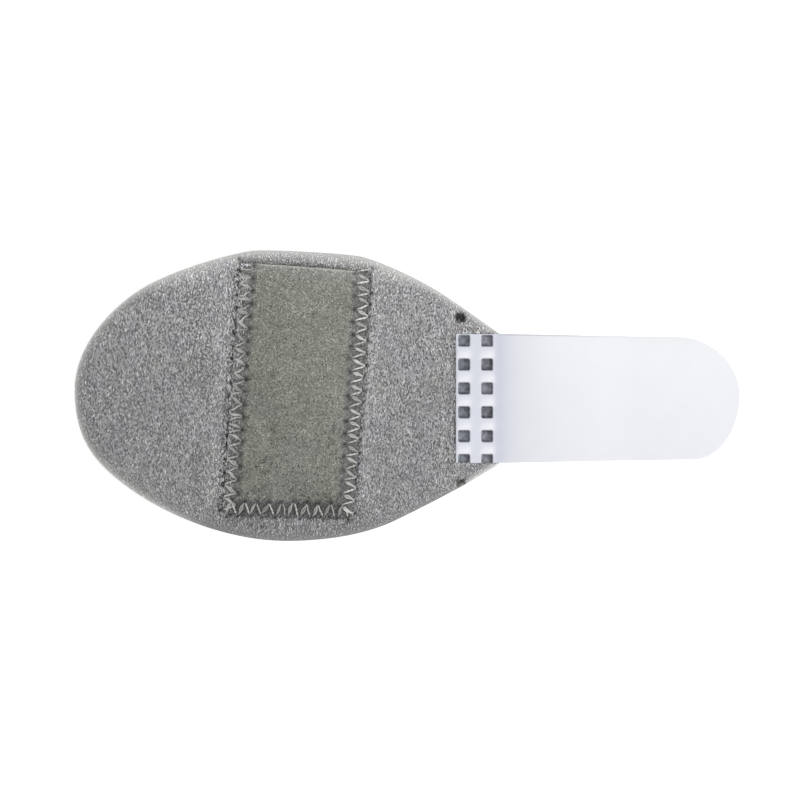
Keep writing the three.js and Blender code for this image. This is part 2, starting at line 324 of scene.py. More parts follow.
pad = {
    "rimInset": 2.4,
    "rimDrop": 1.9,
    "footInset": 0.4,
    "footRise": 0.5,
    "outlineCount": 470,  # points round the curved edge
    "endCount": 58,  # points along the straight cut at the tab
    "fieldRings": 66,
    "hubRings": 7,
    "underRings": 34,
    "paleWidth": 1.1,  # width of the painted sheen on the rim, and how much wider it is along the top
    "paleTopWidth": 1.9,
    "paleTop": 19.0,
    "dullFrom": -38.0,  # the rim's painted sheen is faint along the lower side between these two places
    "dullTo": 8.0,
    "swell": 0.12,  # slow unevenness of the foam
    "strandLean": 24,  # degrees either side of the photograph's up
    "strandShade": 0.27,  # how much one strand differs from the next
    "bright": 0.02,  # share of strands that glint
    "heap": 0.5,  # how high the nap stands against the strip's left edge
    "lapOver": 2.2,  # how far in over the strip a few strands of it lie
    "holePull": 0.45,
    "holeRadius": 0.42,
    "holeShade": 0.36,  # radius of the painted shade round a needle hole
    "underPull": 0.35,  # share of the valleys that shows on the lower face
    "wall": (  # height and inset of the cut edge, with the foam's hollow between the two cloths
        (1.30, 0.0), (1.18, 0.03), (1.10, 0.13), (0.98, 0.16), (0.86, 0.15), (0.76, 0.11),
        (0.68, 0.01), (0.5, 0.0), (0.22, 0.1), (0.06, 0.26), (0.0, 0.42),
    ),
    "napLight": {"plain": 1.245, "alongX": 0.0019, "alongY": 0.0022, "top": 0.09, "low": 0.075},
    "layers": {
        "pad_nap": {
            "strands": 31000,
            "length": (0.32, 0.88),
            "width": (0.12, 0.24),
            "shares": (-0.5, 0.04, 0.5),
            "raised": 0.02,
            "seed": 11,
        },
        "pad_nap_upper": {
            "strands": 16000,
            "length": (0.34, 1.05),
            "width": (0.12, 0.26),
            "shares": (-0.5, -0.2, 0.2, 0.5),
            "raised": 0.07,
            "seed": 12,
        },
    },
}
welds = {
    "pitch": 4.7,
    "columnPitch": 4.55,
    "columns": 2,
    "rows": 6,
    "size": 2.3,
    "wall": 0.3,
    "inset": 1.6,
    "topMargin": 1.32,
    "depth": 1.6,
    "floor": 0.3,
    "padLeft": 1.7,  # height of pad left under a weld
    "strayDepth": 1.0,
    "strayShift": -0.7,  # the two bare welds stand this far back from the first column
}
tab = {
    "thickness": 1.0,
    "rootWidth": 25.4,
    "tipWidth": 23.95,
    "sink": 0.6,
    "drape": 30.0,
    "tipRise": 0.6,
    "roundUpper": 12.1,
    "roundLower": 8.9,
    "base": 0.42,  # the plain sheet that the hooks stand on
    "bulge": 0.2,
    "seed": 23,
}
hooks = {
    "pitch": 0.95,
    "stemShare": 0.45,  # share of the length that is the straight stem
    "bend": 0.17,  # radius of the half turn
    "clear": 0.22,  # how much shorter the stem is than the room under the sheet
    "radius": 0.075,
    "sides": 4,
    "steps": 7,
}
tabStart, tabTip = tabLow[0], tabHigh[0]
tabMiddle = (tabLow[1] + tabHigh[1]) / 2
tabBend = padEnd - pad["rimInset"]
tabSeat = padTopZ - tab["sink"] + strip["gap"]


def padOutline():
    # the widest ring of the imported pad, joined by cubics over four neighbours each, then the straight cut
    corners = nodePoints("pad")
    ring = corners[np.abs(corners[:, 2] - pad["footRise"]) < 0.02][:, :2]
    ring = np.unique(np.round(ring, 3), axis=0)
    angle = np.arctan2(ring[:, 1] - padCentre[1], ring[:, 0] - padCentre[0])
    upperCorner = ring[(ring[:, 0] > padEnd - 0.05) & (ring[:, 1] > 0)]
    firstAngle = np.arctan2(upperCorner[:, 1] - padCentre[1], upperCorner[:, 0] - padCentre[0]).max()
    order = np.argsort((angle - firstAngle + 1e-4) % (2 * np.pi))
    chain = ring[order]
    chain = chain[: np.argmin(np.abs(chain[:, 0] - padEnd) + (chain[:, 1] > 0) * 99) + 1]
    before = np.vstack([2 * chain[0] - chain[1], chain, 2 * chain[-1] - chain[-2]])
    lengths = np.concatenate([[0], np.cumsum(np.linalg.norm(np.diff(chain, axis=0), axis=1))])
    want = np.linspace(0, lengths[-1], pad["outlineCount"])
    k = np.clip(np.searchsorted(lengths, want, side="right") - 1, 0, len(chain) - 2)
    t = ((want - lengths[k]) / (lengths[k + 1] - lengths[k]))[:, None]
    p0, p1, p2, p3 = (before[k + i] for i in range(4))
    square, cube = 2 * p0 - 5 * p1 + 4 * p2 - p3, 3 * p1 - p0 - 3 * p2 + p3
    curve = 0.5 * (2 * p1 + (p2 - p0) * t + square * t**2 + cube * t**3)
    share = np.linspace(0, 1, pad["endCount"] + 2)[1:-1, None]
    return np.vstack([curve, curve[-1] * (1 - share) + curve[0] * share])


outline = padOutline()


def insetOutline(distance):
    # every point moved inwards square to both of its lines: the sum of their two inward units, times twice
    # the distance over that sum's squared length
    before = outline - np.roll(outline, 1, axis=0)
    after = np.roll(outline, -1, axis=0) - outline
    both = unit(leftOf(before)) + unit(leftOf(after))
    return outline + both * (2 * distance / (both**2).sum(1, keepdims=True))


def edgeDistance(x, y):  # the least distance to the outline's points, in batches
    flat = np.stack([np.ravel(x), np.ravel(y)], 1)
    parts = np.array_split(flat, 1 + len(flat) // 4000)
    found = [np.sqrt(((part[:, None] - outline[None]) ** 2).sum(2).min(1)) for part in parts]
    return np.concatenate(found).reshape(np.shape(x))


def weldCentres():  # a grid of squares, row by row down from the tab's upper edge
    top = tabMiddle + tab["rootWidth"] / 2 - welds["topMargin"]
    rows, columns = np.meshgrid(np.arange(welds["rows"]), np.arange(welds["columns"]), indexing="ij")
    x = tabStart + welds["inset"] + columns * welds["columnPitch"]
    return np.stack([x, top - rows * welds["pitch"]], -1).reshape(-1, 2)


def strayCentres():  # one pitch above and below the first column, where the weld missed the tab
    first = weldCentres()[0] + [welds["strayShift"], welds["pitch"]]
    return np.array([first, first - [0, welds["pitch"] * (welds["rows"] + 1)]])


stitch = {
    "sideStep": 1.21,  # along the seam from one needle hole to the next, on the long sides
    "endStep": 1.15,
    "outer": 0.62,  # outer needle holes lie this far past the strip's edge
    "inner": 2.5,  # inner holes lie this far in
    "first": 0.9,  # the seam starts this far past the open end
    "cornerIn": 0.6,
    "leftShift": 0.26,  # the left seam runs this much further in
    "topPull": 0.3,  # the right seam leans in towards its upper end
    "jitter": 0.1,
    "bow": 0.09,  # how far a stroke may bend sideways
    "bowBySide": (1.3, 2.6, 1.0),  # along the end, on the left and on the right
    # painted light on the thread: brighter on the right seam, darker on the left and along the end
    "lightBySide": (0.73, 0.76, 1.06),
    "rise": 0.2,  # how far a stroke bows up, and how deep it dives at its holes
    "dive": 0.75,
    "diveShare": 0.16,
    "plyRadius": 0.125,
    "fatSpread": 0.18,  # how far the plies lie apart on strokes that run inwards, and on the others
    "thinSpread": 0.07,
    "twist": 2.1,  # turns of the plies on each stroke
    "steps": 22,
    "sides": 6,
    "bobbinRadius": 0.15,
    "bobbinRise": 0.17,
    "darkSpread": 0.34,  # how far the dark spots scatter round a hole, and how wide each is
    "darkRadius": 0.22,
    "flank": 0.34,
    "seed": 5,
}


def needleHoles():
    # holes of the zigzag in the strip's frame, down the left side, along the end and up the right side
    # every second hole is an outer one
    half, high = stripWidth / 2, stripLength / 2 + stitch["first"]
    low = -stripLength / 2 + stitch["cornerIn"]
    rise = strip["slant"] * half
    sideCount = int(round((high - low) / stitch["sideStep"])) // 2 * 2
    endCount = int(round((stripWidth - 2 * stitch["cornerIn"]) / stitch["endStep"])) // 2 * 2
    outer = np.arange(sideCount + 1) % 2 == 0
    down = np.linspace(high, low - rise, sideCount + 1)
    reach = np.where(outer, half + stitch["outer"], half - stitch["inner"]) - stitch["leftShift"]
    left = np.stack([-reach, down], 1)
    up = np.linspace(low + rise, high, sideCount + 1)
    pull = stitch["topPull"] * smooth((up - stripLength / 2 + 7) / 7)
    reach = np.where(outer, half + stitch["outer"], half - stitch["inner"]) - pull
    right = np.stack([reach, up], 1)
    across = np.linspace(-half + stitch["cornerIn"], half - stitch["cornerIn"], endCount + 1)
    outerEnd = np.arange(endCount + 1) % 2 == 0
    edge = -stripLength / 2 + strip["slant"] * across
    below = np.stack([across, np.where(outerEnd, edge - stitch["outer"], edge + stitch["inner"])], 1)
    holes = np.concatenate([left, below, right])
    isOuter = np.concatenate([outer, outerEnd, outer])
    return holes + np.random.default_rng(stitch["seed"]).normal(0, stitch["jitter"], holes.shape), isOuter


holes, holeIsOuter = needleHoles()
anyHole = np.ones(len(holes), bool)
holeWeight = np.random.default_rng(stitch["seed"] + 2).uniform(0.65, 1.0, len(holes))
# inner holes are more uneven than outer ones
holeWeight = np.where(holeIsOuter, 0.7 + 0.3 * holeWeight, holeWeight)


def seamDarkPlaces():
    # small dark spots round the inner needle holes, and a painted shadow line along one flank of each stroke
    random = np.random.default_rng(stitch["seed"] + 3)
    inner = np.repeat(holes[~holeIsOuter], 3, axis=0)
    inner = inner + random.normal(0, stitch["darkSpread"], inner.shape) * [1.3, 0.8]
    way = np.diff(holes, axis=0)
    flank = unit(leftOf(way)) * np.where(holeIsOuter[:-1], 1, -1)[:, None]
    shares = np.linspace(0.12, 0.88, 8)[:, None]
    line = holes[:-1, None] + way[:, None] * shares + (stitch["flank"] * flank)[:, None]
    line = (line + random.normal(0, 0.05, line.shape)).reshape(-1, 2)
    faint = random.uniform(0.1, 0.55, len(line)) * np.where(line[:, 0] < 0, 1.4, 1.0)
    weights = np.concatenate([random.uniform(0.3, 0.95, len(inner)), faint])
    return np.concatenate([inner, line]), weights


seamDarkSpots, seamDarkWeight = seamDarkPlaces()


def spots(s, t, places, weights, radius):  # the highest of many round bumps, each exp(-(distance / radius)^2)
    depth = np.zeros(np.shape(s))
    for (hs, ht), weight in zip(places, weights):
        depth = np.maximum(depth, weight * np.exp(-((s - hs) ** 2 + (t - ht) ** 2) / radius**2))
    return depth


def holeDepth(s, t, near, which, radius):
    # how deep the cloth is drawn in at the needle holes, from 0 to 1, worked out only where near is true
    depth = np.zeros(np.shape(s))
    depth[near] = spots(s[near], t[near], holes[which], holeWeight[which], radius)
    return depth


def valley(distance):  # depth times cos^2, from the seam's middle line out to its flanks
    return seam["depth"] * np.cos(np.clip(distance / valleyHalf, -1, 1) * np.pi / 2) ** 2


def seamLine(s, t):
    # inside: signed distance in from the strip's sewn edge
    # crease: painted shade in a line just outside it, weaker on the left; mouth: painted shadow above the open
    # end
    # ground: painted shade on the cloth between the strokes, most of all along the lower end
    side, end = seamDistances(s, t)
    inside = np.minimum(side, end)
    past = t - stripLength / 2
    fade = smooth((1.2 - past) / 0.6)
    crease = bell(inside + seam["creaseOut"], seam["creaseWidth"]) * fade
    crease = crease * bySide(s, side, end, seam["creaseBySide"])
    mouth = 0.75 * bell(past - 0.15, 0.2) * smooth((side + 0.2) / 0.8)
    band = smooth((2.9 - inside) / 0.7) * smooth((inside + 0.7) / 0.4) * fade
    return inside, np.maximum(crease, mouth), band * bySide(s, side, end, seam["groundBySide"])


def valleyDepth(s, t):  # the sewn valleys in the strip's frame, fading out past the open end
    side, end = seamDistances(s, t)
    fade = smooth((stripLength / 2 + seam["overrun"] + 1.1 - t) / 1.6)
    long = valley(side - seamMiddle) * fade * (end > -valleyHalf)
    short = valley(end - seamMiddle) * (side > -valleyHalf)
    corner = smooth((side + valleyHalf * 0.9) / 1.2) * smooth((end + valleyHalf * 0.9) / 1.2)
    return np.maximum(long, short) * corner


def squareDistance(x, y, centre, half):  # distance from a square's middle, 1 on its sides, with round corners
    return (np.abs((x - centre[0]) / half) ** 8 + np.abs((y - centre[1]) / half) ** 8) ** (1 / 8)


def padCuts(x, y):
    # how far the pad's upper face is sunk: by the seams, the needle holes, the tab's seat and the welds
    s, t = toStrip(x, y)
    depth = valleyDepth(s, t)
    depth = depth + pad["holePull"] * holeDepth(s, t, depth > 0.02, holeIsOuter, pad["holeRadius"])
    seat = softBox(y - tabMiddle, tab["rootWidth"] / 2 - 0.12, 0.1) * smooth((x - tabStart + 0.08) / 0.12)
    depth = np.maximum(depth, tab["sink"] * seat)
    room = welds["size"] / 2 + welds["wall"]
    for centre in weldCentres():
        hollow = smooth((1.35 - squareDistance(x, y, centre, room)) / 0.3)
        depth = np.maximum(depth, (padTopZ - welds["padLeft"]) * hollow * (seat > 0.5))
    wander = 0.25 * latticeNoise(x, y, 0.7, 0.7, 31)
    for centre in strayCentres():
        box = squareDistance(x + wander, y - wander, centre, welds["size"] / 2 - 0.2)
        depth = np.maximum(depth, welds["strayDepth"] * smooth((1.3 - box) / 0.5))
    return depth


def rimHeight(distance):  # quarter ellipse from the cut edge up to the flat
    share = np.clip(1 - distance / pad["rimInset"], 0, 1)
    return padTopZ - pad["rimDrop"] * (1 - np.sqrt(1 - share**2))


def padSurface(x, y, distance):
    # the rim's height less the cuts and a slow swell, which fade out down the rim to nothing at its foot
    swell = pad["swell"] * latticeNoise(x, y, 9, 9, 41) + 0.05 * latticeNoise(x, y, 2.2, 3.0, 42)
    full = rimHeight(distance)
    weight = np.clip((full - pad["footRise"]) / (padTopZ - pad["footRise"]), 0, 1)
    return full - (padCuts(x, y) + np.abs(swell)) * weight


def strayMask(x, y):  # how scorched the cloth is in the two bare weld dents, fainter in the lower one
    mask = np.zeros(np.shape(x))
    wander = 0.3 * latticeNoise(x, y, 0.6, 0.6, 33)
    for (cx, cy), share in zip(strayCentres(), (1.0, 0.62)):
        spot = softBox(x - cx + wander, 0.72, 0.32) * softBox(y - cy + wander, 0.72, 0.32)
        broken = np.clip(share + (1 - share) * 1.6 * latticeNoise(x, y, 0.5, 0.5, 34), 0, 1)
        mask = np.maximum(mask, spot * broken)
    return mask


def rimSheen(x, y, distance):
    # painted sheen and light on the rolled rim: strongest at the edge and fading inwards, faint on the lower
    # side, wide along the top
    low = 0.1 + 0.9 * (smooth((pad["dullFrom"] - x) / 12) + smooth((x - pad["dullTo"]) / 6))
    strength = low + (1 - low) * smooth((y + 8) / 12)
    width = pad["paleWidth"] + pad["paleTopWidth"] * smooth((y - pad["paleTop"]) / 6)
    return strength * np.exp(-((np.clip(distance - 0.15, 0, None) / (0.8 * width)) ** 1.3))


def padColours(x, y, distance):
    # rim: painted sheen; dark: painted shade at holes, creases and the mouth; scorch: bare welds; and a
    # lighter band beside the seam
    s, t = toStrip(x, y)
    # painted shade round the needle holes
    drawn = holeDepth(s, t, valleyDepth(s, t) > 0.02, anyHole, pad["holeShade"])
    inside, crease, _ = seamLine(s, t)
    above = smooth(t / 4 + stripLength / 8)
    # a lighter band of cloth beside the seam
    press = smooth((inside + 4.2) / 1.5) * smooth((-0.9 - inside) / 0.5)
    press = press * above * smooth(stripLength / 8 - t / 4)
    # on the left, painted light against the shade of the strip's edge
    press = press + 0.4 * (s < 0) * smooth((inside + 1.3) / 0.5) * smooth((-0.1 - inside) / 0.3) * above
    past = t - stripLength / 2
    # mouth: painted shadow on the pad just above the pocket's open end
    mouth = 0.34 * smooth((1.9 - past) / 1.7) * smooth((past + 0.3) / 0.3)
    mouth = mouth * smooth(stripWidth / 2 + 0.6 - np.abs(s))
    # painted light along the tab's edges, against the shade there
    tabEdgeLight = smooth((x - tabStart + 0.35) / 0.2) * softBox(y - tabMiddle, tab["rootWidth"] / 2 + 0.3, 0.1)
    return {
        "rim": np.maximum(rimSheen(x, y, distance), 0.35 * tabEdgeLight),
        "dark": np.clip(np.maximum(np.maximum(drawn, 0.75 * crease), mouth), 0, 1),
        "scorch": strayMask(x, y),
        "press": press,
    }


def clothMaterial():
    # grey cloth, streaked by noise drawn out along the photograph's up, then the coats of the pad's marks
    material, start, place, feed = newMaterial("pad_cloth", {"Roughness": 0.96, "Specular IOR Level": 0.18})
    streak = noise(start, place, 1400, (1.0, 0.42, 1.0), 3.0, 0.6)
    grain = noise(start, place, 3800)
    blush = noise(start, place, 170, (1, 1, 1), 3.0, 0.55)
    light = 0.4 + 0.85 * streak + 0.35 * grain
    cool = blush.node("ShaderNodeMapRange", None, {"Value": blush, "From Min": 0.36, "From Max": 0.64})
    ground = cool.mix(tone(131, 131, 130), tone(131, 130, 132))
    ground = (1 + 0.15 * attribute(start, "press")).shade(light.shade(ground))
    layers = [
        # rim: painted sheen on the rolled edge
        ("rim", 0.7 + 0.6 * grain, (205, 205, 202)),
        ("scorch", 1.0, (52, 50, 42)),
        # dark: painted shade at the needle holes, the crease and the pocket's mouth
        ("dark", 0.85, (52, 51, 49)),
        ("foam", 1.0, (203, 199, 184)),
    ]
    feed("Base Color", coats(start, ground, layers))
    feed("Normal", bump(start, streak * 0.7 + grain * 0.5, 0.00022, 0.8))
    return material


def lintMaterial():
    # strands of nap: a grey thread whose own tone comes from the strand
    material, start, place, feed = newMaterial("pad_nap", {"Roughness": 0.9, "Specular IOR Level": 0.25})
    blush = noise(start, place, 230)
    cool = blush.node("ShaderNodeMapRange", None, {"Value": blush, "From Min": 0.36, "From Max": 0.64})
    fibre = noise(start, place, 6000, (1, 0.3, 1), 1.0, 0.5)
    ground = cool.mix(tone(180, 180, 179), tone(180, 179, 182))
    feed("Base Color", (attribute(start, "tone") * (0.8 + 0.4 * fibre)).shade(ground))
    return material


def buildPad():
    # rings from the middle out to the rim, over the rolled edge and back underneath to the middle
    inner = insetOutline(pad["rimInset"] + 0.15)
    hub, field = np.linspace(0, 0.3, pad["hubRings"])[1:-1], np.linspace(0.3, 1, pad["fieldRings"])
    shares = np.concatenate([hub, field])
    rings = [padCentre + (inner - padCentre) * s for s in shares]
    distances = [np.full(len(outline), 99.0)] * len(shares)
    for angle in np.radians([80, 68, 57, 46, 36, 26, 17, 9, 3]):
        d = pad["rimInset"] * (1 - math.cos(angle))
        rings.append(insetOutline(d))
        distances.append(np.full(len(outline), d))
    x, y = np.array(rings)[:, :, 0], np.array(rings)[:, :, 1]
    d = np.array(distances)
    z = padSurface(x, y, d)
    top = np.stack([x, y, z], -1)
    ragged = latticeNoise(outline[:, 0], outline[:, 1], 0.5, 0.5, 51)
    wall = []
    for height, inset in pad["wall"]:
        flat = insetOutline(inset)
        rough = 0.06 * ragged * (0.6 < height) * (height < 1.2)
        wall.append(np.column_stack([flat, np.full(len(flat), height) + rough]))
    foot = insetOutline(pad["footInset"] + 0.02)
    under = []
    for share in np.linspace(1, 0, pad["underRings"])[1:-1]:
        flat = padCentre + (foot - padCentre) * share
        under.append(np.column_stack([flat, underHeight(flat[:, 0], flat[:, 1])]))
    body = np.concatenate([top, np.array(wall), np.array(under)])
    ringCount, count = body.shape[:2]
    crownZ = padSurface(*np.array([[*padCentre, 99.0]]).T)[0]
    poles = np.array([[*padCentre, crownZ], [*padCentre, 0.0]])
    points = np.concatenate([body.reshape(-1, 3), poles])
    first, last = np.arange(count), (ringCount - 1) * count + np.arange(count)
    # the rings run outwards, so each face turns from one ring to the next
    quads = gridFaces(ringCount, count, wrap=True)[:, ::-1]
    caps = np.concatenate([fan(len(points) - 2, first), fan(len(points) - 1, last, flip=True)])
    topEnd, wallEnd = len(top) * count, (len(top) + len(wall)) * count
    distance = np.zeros(len(points))
    distance[:topEnd] = edgeDistance(top[:, :, 0], top[:, :, 1]).ravel()
    colours = padColours(points[:, 0], points[:, 1], distance)
    index, height = np.arange(len(points)), points[:, 2]
    onEdge, below = (index >= topEnd) & (index < wallEnd), index >= wallEnd
    for key in ("rim", "dark", "scorch", "press"):
        colours[key] = np.where(below, 0, colours[key])
    # the edge's lower half is as grey as the rest of the cloth
    colours["rim"] = colours["rim"] * (0.22 + 0.78 * smooth((height - 0.95) / 0.4))
    colours["scorch"] = colours["scorch"] * smooth((height - 1.0) / 0.3)
    colours["foam"] = onEdge * softBox(height - 0.93, 0.16, 0.12)
    return makePiece("pad_body", points, [quads, caps], clothMaterial(), colours)


def underHeight(x, y):  # the lower face: flat, but drawn up a little along the bobbin side of the seam
    s, t = toStrip(x, y)
    return pad["underPull"] * valleyDepth(s, t)


def spindles(x, y, angle, length, width, surface, lift, arch, shares):
    # short pointed strands that lie on a surface: a tip at the first and last share of the length, and a
    # three-sided ring at each share between; arch holds how far the tips droop and the strand bends sideways
    way = headings(angle)
    cross = leftOf(way)
    shares = np.array(shares)
    rings = len(shares) - 2
    isTip = np.abs(shares) == 0.5
    bow = np.where(isTip, 0, 0.05)
    flat = np.stack([x, y], 1)[:, None] + way[:, None] * (shares[:, None] * length[:, None, None])
    flat = flat + cross[:, None] * (bow[:, None] * (length * arch[:, 1])[:, None, None])
    z = surface(flat[:, :, 0], flat[:, :, 1]) + lift[:, None] * np.where(isTip, 0.1, 1)
    z = z + arch[:, :1] * np.where(isTip, -0.08, 0)
    spine = np.concatenate([flat, z[:, :, None]], 2)
    corners = np.array([[-0.5, -0.2], [0.5, -0.2], [0.0, 0.55]])
    side = np.concatenate([cross, np.zeros((len(x), 1))], 1)
    skin = spine[:, 1:-1, None] + side[:, None, None] * (corners[:, 0] * width[:, None])[:, None, :, None]
    skin = skin + np.array([0, 0, 1.0]) * (corners[:, 1] * width[:, None])[:, None, :, None]
    points = np.concatenate([spine[:, :1], skin.reshape(-1, 3 * rings, 3), spine[:, -1:]], 1)
    each = 3 * rings + 2
    quads = gridFaces(rings, 3, 1, wrap=True)
    first, last = np.arange(1, 4), np.arange(each - 4, each - 1)
    tris = np.concatenate([fan(0, first, flip=True), fan(each - 1, last)])
    shift = (np.arange(len(x)) * each)[:, None, None]
    return points.reshape(-1, 3), (quads[None] + shift).reshape(-1, 4), (tris[None] + shift).reshape(-1, 3)


def coverMask(x, y):  # 1 where the strip or the tab lies over the pad
    s, t = toStrip(x, y)
    side, end = seamDistances(s, t)
    underStrip = (side > 0.1) & (end > 0.1) & (t < stripLength / 2 - 0.5)
    underTab = (x > tabStart + 0.05) & (np.abs(y - tabMiddle) < tab["rootWidth"] / 2 - 0.05)
    return underStrip | underTab


def reachOf(points):  # how far the outline lies from the pad's centre, in each point's direction
    angle = np.arctan2(points[..., 1] - padCentre[1], points[..., 0] - padCentre[0])
    around = np.arctan2(outline[:, 1] - padCentre[1], outline[:, 0] - padCentre[0])
    order = np.argsort(around)
    radius = np.linalg.norm(outline - padCentre, axis=1)
    return np.interp(angle, around[order], radius[order], period=2 * np.pi)


def leftHeap(x, y):  # nap that stands up against the strip's left edge
    s, t = toStrip(x, y)
    side, end = seamDistances(s, t)
    return pad["heap"] * (s < 0) * softBox(side + 0.25, 0.35, 0.6) * smooth(end) * smooth(stripLength / 2 - t)


def napGround(x, y):  # what the pad's nap lies on: the pad, or the strip where it laps over the left edge
    s, t = toStrip(x, y)
    side, end = seamDistances(s, t)
    onStrip = (s < 0) & (side > 0) & (side < pad["lapOver"] + 0.6) & (end > 0) & (t < stripLength / 2)
    return np.where(onStrip, stripTop(s, t) + 0.05, padSurface(x, y, edgeDistance(x, y)) + leftHeap(x, y))


def lapsOver(x, y, chance):  # the few places just inside the strip's left edge that pad nap lies over
    s, t = toStrip(x, y)
    side, end = seamDistances(s, t)
    tabEdgeLight = (s < 0) & (side < pad["lapOver"]) & (end > 0.6) & (t < stripLength / 2 - 0.6)
    return tabEdgeLight & (chance < 0.36 * (1 - side / pad["lapOver"]) + 0.02)


def napLightTone(x, y):  # painted light: the nap is lighter towards the tab and the top, and darker by the lower edge
    napLight = pad["napLight"]
    level = napLight["plain"] + napLight["alongX"] * (x + 22) + napLight["alongY"] * y
    return level + napLight["top"] * smooth((y - 2) / 14) - napLight["low"] * smooth((-y - 20) / 6)


def buildPadNap(name, layer):
    # random places on the pad, each with a short strand; none that would cross the pad's edge is kept
    seed, raised = layer["seed"], layer["raised"]
    random = np.random.default_rng(seed)
    count = layer["strands"] * 3
    place = random.uniform([padLow[0], padLow[1]], [padHigh[0], padHigh[1]], (count, 2))
    drift = 16 * latticeNoise(place[:, 0], place[:, 1], 5, 5, 61)
    lean = np.radians(90 + drift + random.normal(0, pad["strandLean"], count))
    distance = edgeDistance(place[:, 0], place[:, 1])
    length = random.uniform(*layer["length"], count) * (0.55 + 0.45 * smooth(distance / 2.5))
    way = headings(lean) * (length / 2 + 0.12)[:, None]
    kept = ~coverMask(*place.T) | lapsOver(*place.T, random.uniform(0, 1, count))
    for tip in (place, place + way, place - way):
        kept &= np.linalg.norm(tip - padCentre, axis=1) < reachOf(tip) - 0.1
    # fewer strands on the rolled rim, where the cloth is pulled tight
    onTop = smooth((place[:, 1] - pad["paleTop"]) / 6) * (distance < 2)
    kept &= random.uniform(0, 1, count) < 0.42 + 0.58 * smooth((distance - 0.3) / 2.2) - 0.16 * onTop
    chosen = np.flatnonzero(kept)[: layer["strands"]]
    x, y, lean, length, distance = (a[chosen] for a in (*place.T, lean, length, distance))
    count = len(chosen)
    width = random.uniform(*layer["width"], count)
    lift = random.uniform(0.0, 0.15, count) + raised
    bend = random.choice([-1, 1], count) * random.uniform(0.3, 2.4, count)
    arch = np.stack([random.uniform(0.4, 1.4, count), bend], 1)
    points, quads, tris = spindles(x, y, lean, length, width, napGround, lift, arch, layer["shares"])
    marks = padColours(x, y, distance)
    calm = (1 - 0.25 * smooth((x + 15) / 12)) * (0.45 + 0.55 * smooth((distance - 0.6) / 2.2))
    shade = 1 + pad["strandShade"] * calm * random.normal(0, 1, count)
    shade = shade + 0.10 * latticeNoise(x, y, 0.7, 1.6, 62 + seed) + 0.05 * latticeNoise(x, y, 6, 6, 63)
    # painted shade: strands that lie lower are darker
    shade = shade + 1.3 * (lift - raised - 0.075)
    shade = shade + (random.uniform(0, 1, count) < pad["bright"]) * 0.6 * smooth((distance - 1.6) / 1.4)
    # painted light and the rim's painted sheen lighten the strands
    shade = shade * napLightTone(x, y) * (1 + 0.62 * marks["rim"]) * (1 + 0.12 * marks["press"])
    # painted shade at the holes and the crease darkens the strands
    shade = shade * (1 - 0.75 * marks["dark"]) * (1 - 0.86 * marks["scorch"])
    strandTone = np.repeat(np.clip(shade, 0.08, 2.4), len(points) // count)
    return makePiece(name, points, [quads, tris], lintMaterial(), {"tone": strandTone})


def stripUnder(s, t):
    # the strip's lower face: over the valleys, touching them at the sewn edges, crowned between them
    crown = lambda distance: smooth((distance - seam["inside"]) / strip["crownRun"])
    side, end = seamDistances(s, t)
    floor = padTopZ - np.maximum(valley(side - seamMiddle), valley(end - seamMiddle))
    gap = strip["gap"] * (0.1 + 0.9 * smooth((np.minimum(side, end) - 0.2) / 1.8))
    return floor + gap + strip["pocketRise"] * crown(side) * crown(end)


def stripTop(s, t):
    # the lower face plus thickness and a slow swell, less the seams' pinch, the round edge and the holes
    side, end = seamDistances(s, t)
    inside = np.minimum(side, end)
    pinch = seam["pinch"] * np.maximum(valley(side - seamMiddle), valley(end - seamMiddle)) / seam["depth"]
    swell = 0.07 * latticeNoise(s, t, 4.5, 6.0, 71) + 0.03 * latticeNoise(s, t, 0.9, 0.9, 72)
    edge = np.minimum(inside, stripLength / 2 - t)
    rounded = strip["edgeDrop"] * (1 - smooth(edge / strip["edgeRun"]))
    drawn = strip["holePull"] * holeDepth(s, t, inside < 3.6, anyHole, strip["holeRadius"])
    lower = strip["gap"] * 0.9 * (1 - smooth((inside - 0.2) / 1.8))
    return stripUnder(s, t) + lower + strip["thickness"] - pinch - rounded - drawn + swell


def stripMaterial():
    # olive cloth speckled by two noises, greyer in the seam, with painted shade at the stitches and a painted
    # highlight on the open cut
    constants = {"Roughness": 0.97, "Specular IOR Level": 0.15}
    material, start, place, feed = newMaterial("pocket_cloth", constants)
    grain = noise(start, place, 2600, (1, 0.8, 1), 3.0, 0.6)
    fine = noise(start, place, 5200, (1, 1, 1), 1.0, 0.5)
    blush = noise(start, place, 120)
    ground = blush.mix(tone(130, 132, 127), tone(134, 134, 124))
    ground = (0.4 + 0.85 * grain + 0.35 * fine).shade(ground)
    layers = [("sewn", 0.7, (124, 124, 123)), ("dark", 0.85, (44, 44, 43)), ("cut", 1.0, (196, 196, 189))]
    feed("Base Color", coats(start, ground, layers))
    feed("Normal", bump(start, grain * 0.6 + fine * 0.4, 0.00014, 0.7))
    return material


def stripNapMaterial():
    # strands of the strip's nap: olive, greyer in the seam, times the strand's own tone
    material, start, place, feed = newMaterial("pocket_nap", {"Roughness": 0.92, "Specular IOR Level": 0.2})
    blush = noise(start, place, 150)
    ground = blush.mix(tone(163, 165, 162), tone(175, 175, 162))
    ground = coats(start, ground, [("sewn", 0.8, (162, 162, 162))])
    feed("Base Color", attribute(start, "tone").shade(ground))
    return material


